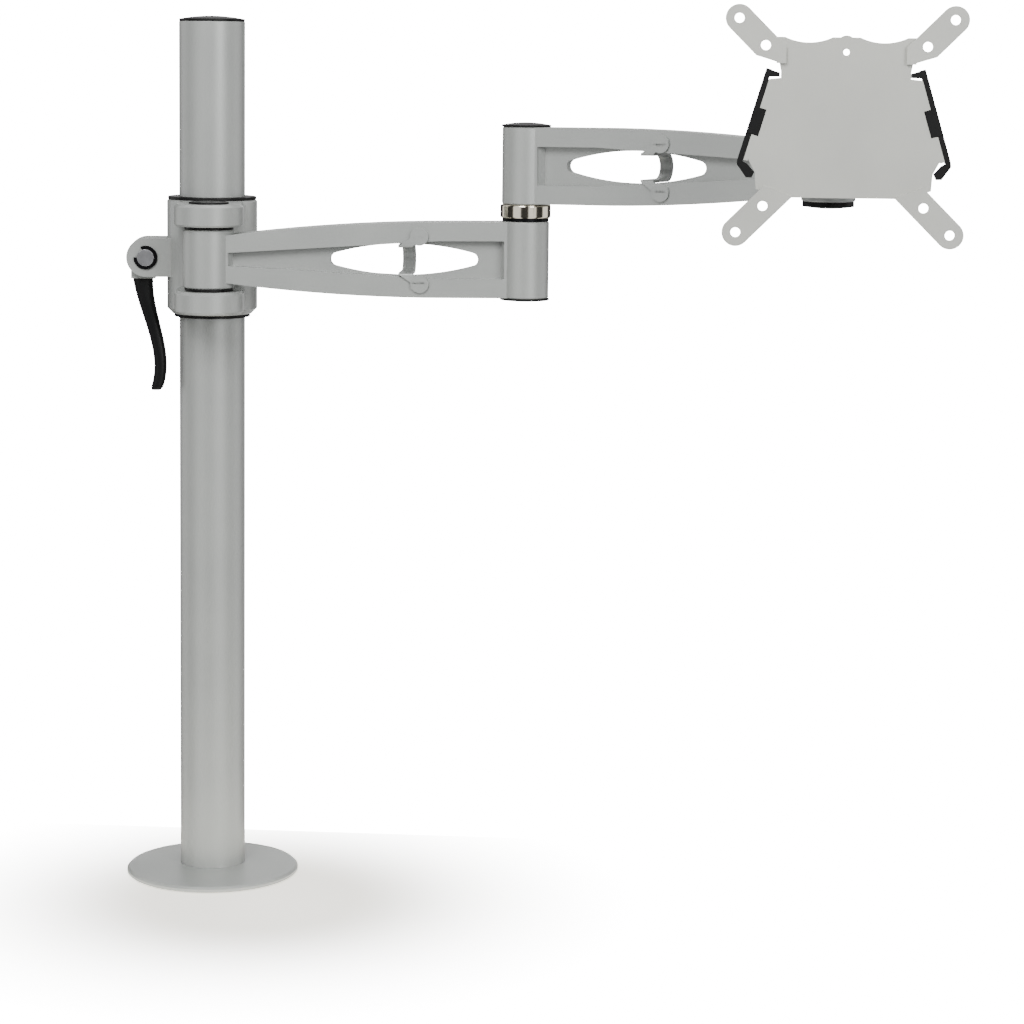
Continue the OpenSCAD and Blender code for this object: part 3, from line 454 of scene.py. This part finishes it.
# ---- Head pivot: nylon bushes in the upper arm's small barrel, a spindle that hangs from
# the head, its washer and nut, and a black cap from below.
eased("head_pivot_bushes", 0.3, black_nylon)
eased("head_bottom_cap", 0.35, black_nylon)
eased("head_spindle", 0.3, zinc_steel)
eased("head_spindle_washer", 0.2, zinc_steel)
eased("head_spindle_nut", 0.3, zinc_steel)
eased("head_neck", 0.8, silver_coat, steps=3)

# ---- Tilt joint: a bent steel fork round the neck's knuckle, on an M8 bolt with two black
# friction washers.
eased("tilt_fork", 0.6, silver_coat, steps=3)
eased("tilt_bolt", 0.35, zinc_steel)
eased("tilt_washers", 0.2, black_nylon)
eased("tilt_nut", 0.35, zinc_steel)

# ---- Receiver: a zinc-plated wedge on the turn bolt, that the plate drops over. A black
# friction washer between it and the fork holds it at any angle.
eased("receiver", 0.4, zinc_steel)
eased("turn_washer", 0.2, black_nylon)
eased("turn_bolt", 0.35, zinc_steel)
eased("turn_nut", 0.35, zinc_steel)

# ---- Monitor plate: pressed steel sheet in a paler grey coat, with four joggled tabs for
# the monitor's screws. Two black liners clip over its folded sides.
pale_coat = powder_coat("powder_coat_pale", "#c3c4bd", "#bdbeb8", 0.44)
eased("vesa_plate", 0.45, pale_coat, steps=2)
eased("liner_left", 0.5, black_nylon)
eased("liner_right", 0.5, black_nylon)

# ---- Desk: a plain pale top, cut off behind the foot and fading out all round it. It is
# matt laminate with a faint warm tone, and a painted glow of its own lifts its shade to only a soft shadow.
desk_z = cad_box[0][2]
desk_left, desk_right, desk_front, desk_rear = -2.0, 2.4, -2.2, 0.085
desk_mesh = bpy.data.meshes.new("desk_top")
corners = [(desk_left, desk_front, desk_z), (desk_right, desk_front, desk_z),
           (desk_right, desk_rear, desk_z), (desk_left, desk_rear, desk_z)]
desk_mesh.from_pydata(corners, [], [(0, 1, 2, 3)])
desk = bpy.data.objects.new("desk_top", desk_mesh)
bpy.context.scene.collection.objects.link(desk)
laminate, tree, out = blank_finish("pale_laminate")
place = put(tree, "ShaderNodeTexCoord").outputs["Object"]
distance = put(tree, "ShaderNodeVectorMath", {
    0: place, 1: (0.03, -0.05, desk_z)}, operation="DISTANCE")
fade = put(tree, "ShaderNodeMapRange", {
    "Value": distance.outputs["Value"], "From Min": 0.05, "From Max": 0.24,
    "To Min": 0.0, "To Max": 1.0}, interpolation_type="SMOOTHSTEP")
# the top glows by its own emission: painted light that lifts the desk's shade and shadow
glowing_matt = put(tree, "ShaderNodeBsdfPrincipled", {
    "Base Color": from_hex("#e8e6e0"), "Roughness": 0.6,
    "Emission Color": from_hex("#faf6ea"), "Emission Strength": 1.5})
clear = put(tree, "ShaderNodeBsdfTransparent")
blend = put(tree, "ShaderNodeMixShader", {
    0: fade.outputs["Result"], 1: glowing_matt.outputs["BSDF"], 2: clear.outputs["BSDF"]})
tree.links.new(blend.outputs["Shader"], out.inputs["Surface"])
desk_mesh.materials.append(laminate)

# ---- Studio: a white backdrop behind the arm, and round the camera bright walls with dark
# flags between them, which draw the upright bands on the plated ring and the post.
backdrop_strength = 18.0
wall_pairs = 5.0  # bright walls round the circle, each with a dark flag beside it
world = bpy.data.worlds.new("studio")
bpy.context.scene.world = world
world.use_nodes = True
sky = world.node_tree
sky.nodes.clear()
seen = put(sky, "ShaderNodeLightPath").outputs["Is Camera Ray"]
way = put(sky, "ShaderNodeTexCoord").outputs["Generated"]
parts = put(sky, "ShaderNodeSeparateXYZ", {0: way})
bearing = put(sky, "ShaderNodeMath", {
    0: parts.outputs["Y"], 1: parts.outputs["X"]}, operation="ARCTAN2")
bands = put(sky, "ShaderNodeMath", {
    0: bearing.outputs[0], 1: wall_pairs}, operation="MULTIPLY")
wave = put(sky, "ShaderNodeMath", {0: bands.outputs[0]}, operation="SINE")
walls = put(sky, "ShaderNodeMapRange", {
    "Value": wave.outputs[0], "From Min": -0.25, "From Max": 0.25,
    "To Min": 0.04, "To Max": 1.1}, interpolation_type="SMOOTHSTEP")
level = put(sky, "ShaderNodeMix", {
    0: seen, 2: walls.outputs["Result"], 3: backdrop_strength}, data_type="FLOAT")
white = put(sky, "ShaderNodeBackground", {
    "Color": from_hex("#ffffff"), "Strength": level.outputs[0]})
put(sky, "ShaderNodeOutputWorld", {"Surface": white.outputs["Background"]})


def softbox(name, at, aim, size, power):
    """A square studio softbox, aimed at a point."""
    lamp = bpy.data.lights.new(name, "AREA")
    lamp.size = size
    lamp.energy = power
    stand = bpy.data.objects.new(name, lamp)
    bpy.context.scene.collection.objects.link(stand)
    stand.location = at
    stand.rotation_euler = (Vector(aim) - Vector(at)).to_track_quat("-Z", "Y").to_euler()


softbox("key", (-0.2, -1.7, 1.4), (0.15, 0, 0.3), 0.8, 30)
softbox("fill", (1.2, -1.5, 0.8), (0.15, 0, 0.3), 0.6, 14)
softbox("top", (0.2, 0.3, 1.9), (0.15, 0, 0.3), 1.0, 9)

eye_at = (0.27683, -1.52909, 0.44754)
turn_left, look_down, roll = 0.07518, 0.11951, 0.0115
eye = bpy.data.cameras.new("camera")
eye.sensor_width = 36.0
eye.lens = 101.71
eye.shift_y = -0.1097
camera = bpy.data.objects.new("camera", eye)
bpy.context.scene.collection.objects.link(camera)
camera.matrix_world = (
    Matrix.Translation(eye_at)
    @ Matrix.Rotation(turn_left, 4, "Z")
    @ Matrix.Rotation(math.pi / 2 - look_down, 4, "X")
    @ Matrix.Rotation(roll, 4, "Z"))
bpy.context.scene.camera = camera
